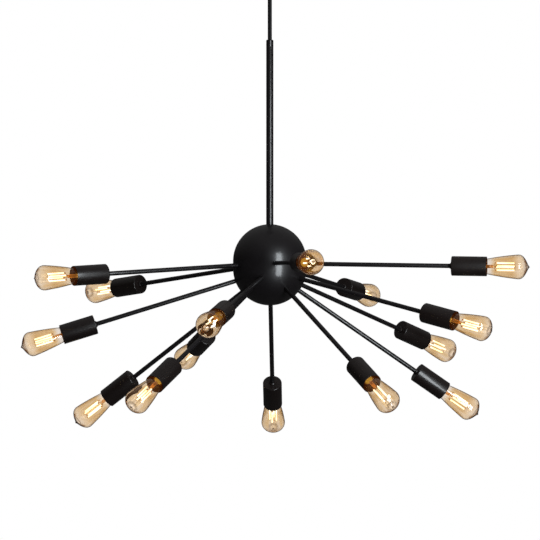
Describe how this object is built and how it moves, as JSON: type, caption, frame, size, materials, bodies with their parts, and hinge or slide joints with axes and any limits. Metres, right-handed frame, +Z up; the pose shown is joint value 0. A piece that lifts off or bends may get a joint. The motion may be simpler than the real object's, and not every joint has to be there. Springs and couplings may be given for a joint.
{
  "type": "ceiling lamp",
  "caption": "Pendant ceiling lamp: a black ball on a stem and cable, with tiers of thin straight arms that end in sleeved filament bulbs pointing outwards and down.",
  "frame": {"origin": "middle of the ceiling bracket's top face, midway between its two ceiling screws", "axes": "+Z up towards the ceiling, +X to the right and +Y away as the picture sees the lamp"},
  "size_m": [0.9891, 0.9626, 0.892],
  "materials": {
    "black_metal": "satin black powder coat",
    "black_plastic": "matte moulded black",
    "white_plastic": "matte moulded white",
    "cable": "matte black round cable sheath",
    "steel": "zinc-plated steel",
    "brass": "rolled brass screw cap",
    "amber_glass": "clear amber-tinted blown glass"
  },
  "bodies": {
    "ceiling_mount": {"ceiling_bracket": "steel", "canopy": "black_metal", "canopy_screws": "black_metal", "cord_grip": "black_plastic", "cord_grip_nut": "steel", "terminal_block": "white_plastic", "cable_tail": "cable"},
    "cable": {"suspension_cable": "cable", "cable_ferrule": "steel"},
    "lamp": {"stem_cap": "black_metal", "stem_set_screw": "black_metal", "stem_tube": "black_metal", "stem_lead": "cable", "ball_upper_shell": "black_metal", "ball_lower_shell": "black_metal", "ball_bridge": "steel", "wiring_connector": "white_plastic", "arm_nuts": "steel", "arm_leads": "cable", "sleeve_collars": "black_metal", "upper_arms": "black_metal", "upper_sleeves": "black_metal", "upper_lampholders": "black_plastic", "middle_arms": "black_metal", "middle_sleeves": "black_metal", "middle_lampholders": "black_plastic", "lower_arms": "black_metal", "lower_sleeves": "black_metal", "lower_lampholders": "black_plastic"},
    "upper_bulb_1": {"upper_bulb_1_glass": "amber_glass", "upper_bulb_1_cap": "brass"},
    "upper_bulb_2": {"upper_bulb_2_glass": "amber_glass", "upper_bulb_2_cap": "brass"},
    "upper_bulb_3": {"upper_bulb_3_glass": "amber_glass", "upper_bulb_3_cap": "brass"},
    "upper_bulb_4": {"upper_bulb_4_glass": "amber_glass", "upper_bulb_4_cap": "brass"},
    "upper_bulb_5": {"upper_bulb_5_glass": "amber_glass", "upper_bulb_5_cap": "brass"},
    "middle_bulb_1": {"middle_bulb_1_glass": "amber_glass", "middle_bulb_1_cap": "brass"},
    "middle_bulb_2": {"middle_bulb_2_glass": "amber_glass", "middle_bulb_2_cap": "brass"},
    "middle_bulb_3": {"middle_bulb_3_glass": "amber_glass", "middle_bulb_3_cap": "brass"},
    "middle_bulb_4": {"middle_bulb_4_glass": "amber_glass", "middle_bulb_4_cap": "brass"},
    "middle_bulb_5": {"middle_bulb_5_glass": "amber_glass", "middle_bulb_5_cap": "brass"},
    "lower_bulb_1": {"lower_bulb_1_glass": "amber_glass", "lower_bulb_1_cap": "brass"},
    "lower_bulb_2": {"lower_bulb_2_glass": "amber_glass", "lower_bulb_2_cap": "brass"},
    "lower_bulb_3": {"lower_bulb_3_glass": "amber_glass", "lower_bulb_3_cap": "brass"},
    "lower_bulb_4": {"lower_bulb_4_glass": "amber_glass", "lower_bulb_4_cap": "brass"},
    "lower_bulb_5": {"lower_bulb_5_glass": "amber_glass", "lower_bulb_5_cap": "brass"}
  },
  "joints": [
    {"name": "pendant_swing", "type": "hinge", "parent": "ceiling_mount", "child": "cable", "pos_m": [0, 0, -0.04], "axis": [0, 1, 0], "range_deg": [-12, 12]},
    {"name": "lamp_turn", "type": "hinge", "parent": "cable", "child": "lamp", "pos_m": [0, 0, -0.136], "axis": [0, 0, 1], "range_deg": [-90, 90]},
    {"name": "upper_bulb_1_turn", "type": "hinge", "parent": "lamp", "child": "upper_bulb_1", "pos_m": [0.06636, -0.41897, -0.60988], "axis": [0.156, -0.9846, -0.0785], "range_deg": [0, 1080]},
    {"name": "upper_bulb_2_turn", "type": "hinge", "parent": "lamp", "child": "upper_bulb_2", "pos_m": [0.42122, -0.0592, -0.58764], "axis": [0.9899, -0.1391, -0.0262], "range_deg": [0, 1080]},
    {"name": "upper_bulb_3_turn", "type": "hinge", "parent": "lamp", "child": "upper_bulb_3", "pos_m": [0.17949, 0.38492, -0.60248], "axis": [0.4218, 0.9046, -0.061], "range_deg": [0, 1080]},
    {"name": "upper_bulb_4_turn", "type": "hinge", "parent": "lamp", "child": "upper_bulb_4", "pos_m": [-0.31061, 0.28965, -0.60248], "axis": [-0.73, 0.6807, -0.061], "range_deg": [0, 1080]},
    {"name": "upper_bulb_5_turn", "type": "hinge", "parent": "lamp", "child": "upper_bulb_5", "pos_m": [-0.37396, -0.19884, -0.61728], "axis": [-0.8789, -0.4673, -0.0958], "range_deg": [0, 1080]},
    {"name": "middle_bulb_1_turn", "type": "hinge", "parent": "lamp", "child": "middle_bulb_1", "pos_m": [-0.0987, -0.39586, -0.71135], "axis": [-0.232, -0.9303, -0.284], "range_deg": [0, 1080]},
    {"name": "middle_bulb_2_turn", "type": "hinge", "parent": "lamp", "child": "middle_bulb_2", "pos_m": [0.35146, -0.21118, -0.70421], "axis": [0.826, -0.4963, -0.2672], "range_deg": [0, 1080]},
    {"name": "middle_bulb_3_turn", "type": "hinge", "parent": "lamp", "child": "middle_bulb_3", "pos_m": [0.31253, 0.26224, -0.71135], "axis": [0.7345, 0.6163, -0.284], "range_deg": [0, 1080]},
    {"name": "middle_bulb_4_turn", "type": "hinge", "parent": "lamp", "child": "middle_bulb_4", "pos_m": [-0.15202, 0.37626, -0.71845], "axis": [-0.3573, 0.8843, -0.3007], "range_deg": [0, 1080]},
    {"name": "middle_bulb_5_turn", "type": "hinge", "parent": "lamp", "child": "middle_bulb_5", "pos_m": [-0.40482, -0.02831, -0.71845], "axis": [-0.9514, -0.0665, -0.3007], "range_deg": [0, 1080]},
    {"name": "lower_bulb_1_turn", "type": "hinge", "parent": "lamp", "child": "lower_bulb_1", "pos_m": [-0.21718, -0.27798, -0.82844], "axis": [-0.5104, -0.6533, -0.5592], "range_deg": [0, 1080]},
    {"name": "lower_bulb_2_turn", "type": "hinge", "parent": "lamp", "child": "lower_bulb_2", "pos_m": [0.19212, -0.29585, -0.82844], "axis": [0.4515, -0.6953, -0.5592], "range_deg": [0, 1080]},
    {"name": "lower_bulb_3_turn", "type": "hinge", "parent": "lamp", "child": "lower_bulb_3", "pos_m": [0.34469, 0.09236, -0.82224], "axis": [0.8101, 0.2171, -0.5446], "range_deg": [0, 1080]},
    {"name": "lower_bulb_4_turn", "type": "hinge", "parent": "lamp", "child": "lower_bulb_4", "pos_m": [0.00608, 0.3485, -0.83456], "axis": [0.0143, 0.819, -0.5736], "range_deg": [0, 1080]},
    {"name": "lower_bulb_5_turn", "type": "hinge", "parent": "lamp", "child": "lower_bulb_5", "pos_m": [-0.32317, 0.13057, -0.83456], "axis": [-0.7595, 0.3069, -0.5736], "range_deg": [0, 1080]}
  ]
}
